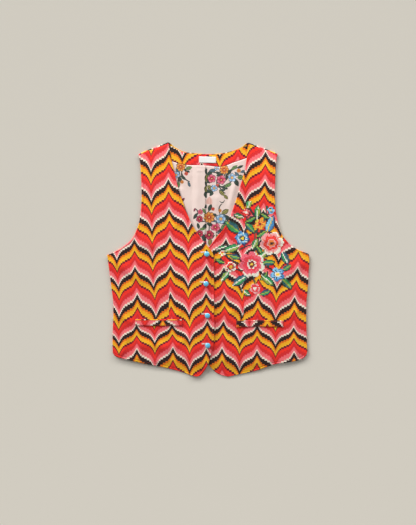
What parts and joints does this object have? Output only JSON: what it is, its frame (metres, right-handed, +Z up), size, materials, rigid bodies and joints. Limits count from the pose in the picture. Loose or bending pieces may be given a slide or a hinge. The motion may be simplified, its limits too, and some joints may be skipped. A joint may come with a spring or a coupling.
{
  "type": "v-neck waistcoat laid flat",
  "caption": "Buttoned V-neck waistcoat of printed cotton twill laid flat, with pointed hem, welt pockets, darts and a pleated lining.",
  "frame": {"origin": "on the surface that the waistcoat lies on, under the centre of its outline", "axes": "+Y towards the shoulders, +X towards the wearer's left, +Z up out of the fronts"},
  "size_m": [0.485, 0.5628, 0.0149],
  "materials": {
    "flame_twill": "printed cotton twill, flame stitch in red, pink, mustard and black, matt",
    "lining_cotton": "fine cotton, pale pink with flower sprays, matt",
    "label_satin": "plain woven satin tape",
    "button_resin": "polished turquoise resin",
    "sewing_thread": "pale pink sewing cotton"
  },
  "bodies": {
    "root": {"back_panel": "flame_twill", "back_lining": "lining_cotton", "back_neck_facing": "flame_twill", "neck_label": "label_satin", "front_left": "flame_twill", "front_right": "flame_twill", "welt_right": "flame_twill", "welt_left": "flame_twill", "button_1": "button_resin", "button_2": "button_resin", "button_3": "button_resin", "button_4": "button_resin"}
  },
  "joints": []
}
